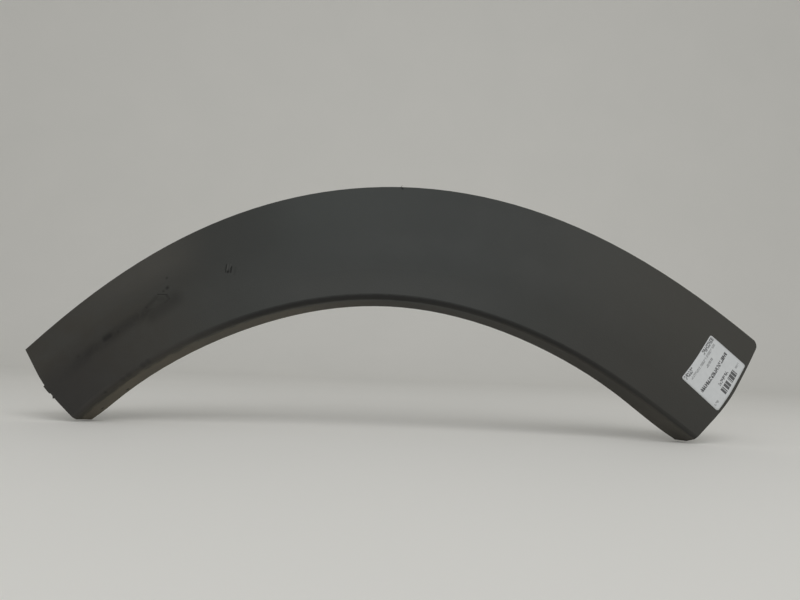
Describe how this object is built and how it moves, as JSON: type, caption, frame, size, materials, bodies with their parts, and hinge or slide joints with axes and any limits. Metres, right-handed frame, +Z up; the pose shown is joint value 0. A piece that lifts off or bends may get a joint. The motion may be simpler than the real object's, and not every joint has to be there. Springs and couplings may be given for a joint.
{
  "type": "wheel arch trim",
  "caption": "Curved plastic trim for a car wheel opening, with a wide flared face, rolled lip, return flange and clip towers on its back.",
  "frame": {"origin": "on the side of the body, midway between the two fixing holes nearest the crown of the arch", "axes": "+X along the car, to the right as seen from outside; +Y from the trim towards the car; +Z up"},
  "size_m": [0.7592, 0.0403, 0.2577],
  "materials": {
    "textured_plastic": "unpainted dark grey plastic with a fine moulded grain, scuffed and dusty",
    "label_paper": "thin white coated paper of a stuck-on stock label"
  },
  "bodies": {
    "root": {"arch_moulding": "textured_plastic"}
  },
  "joints": []
}
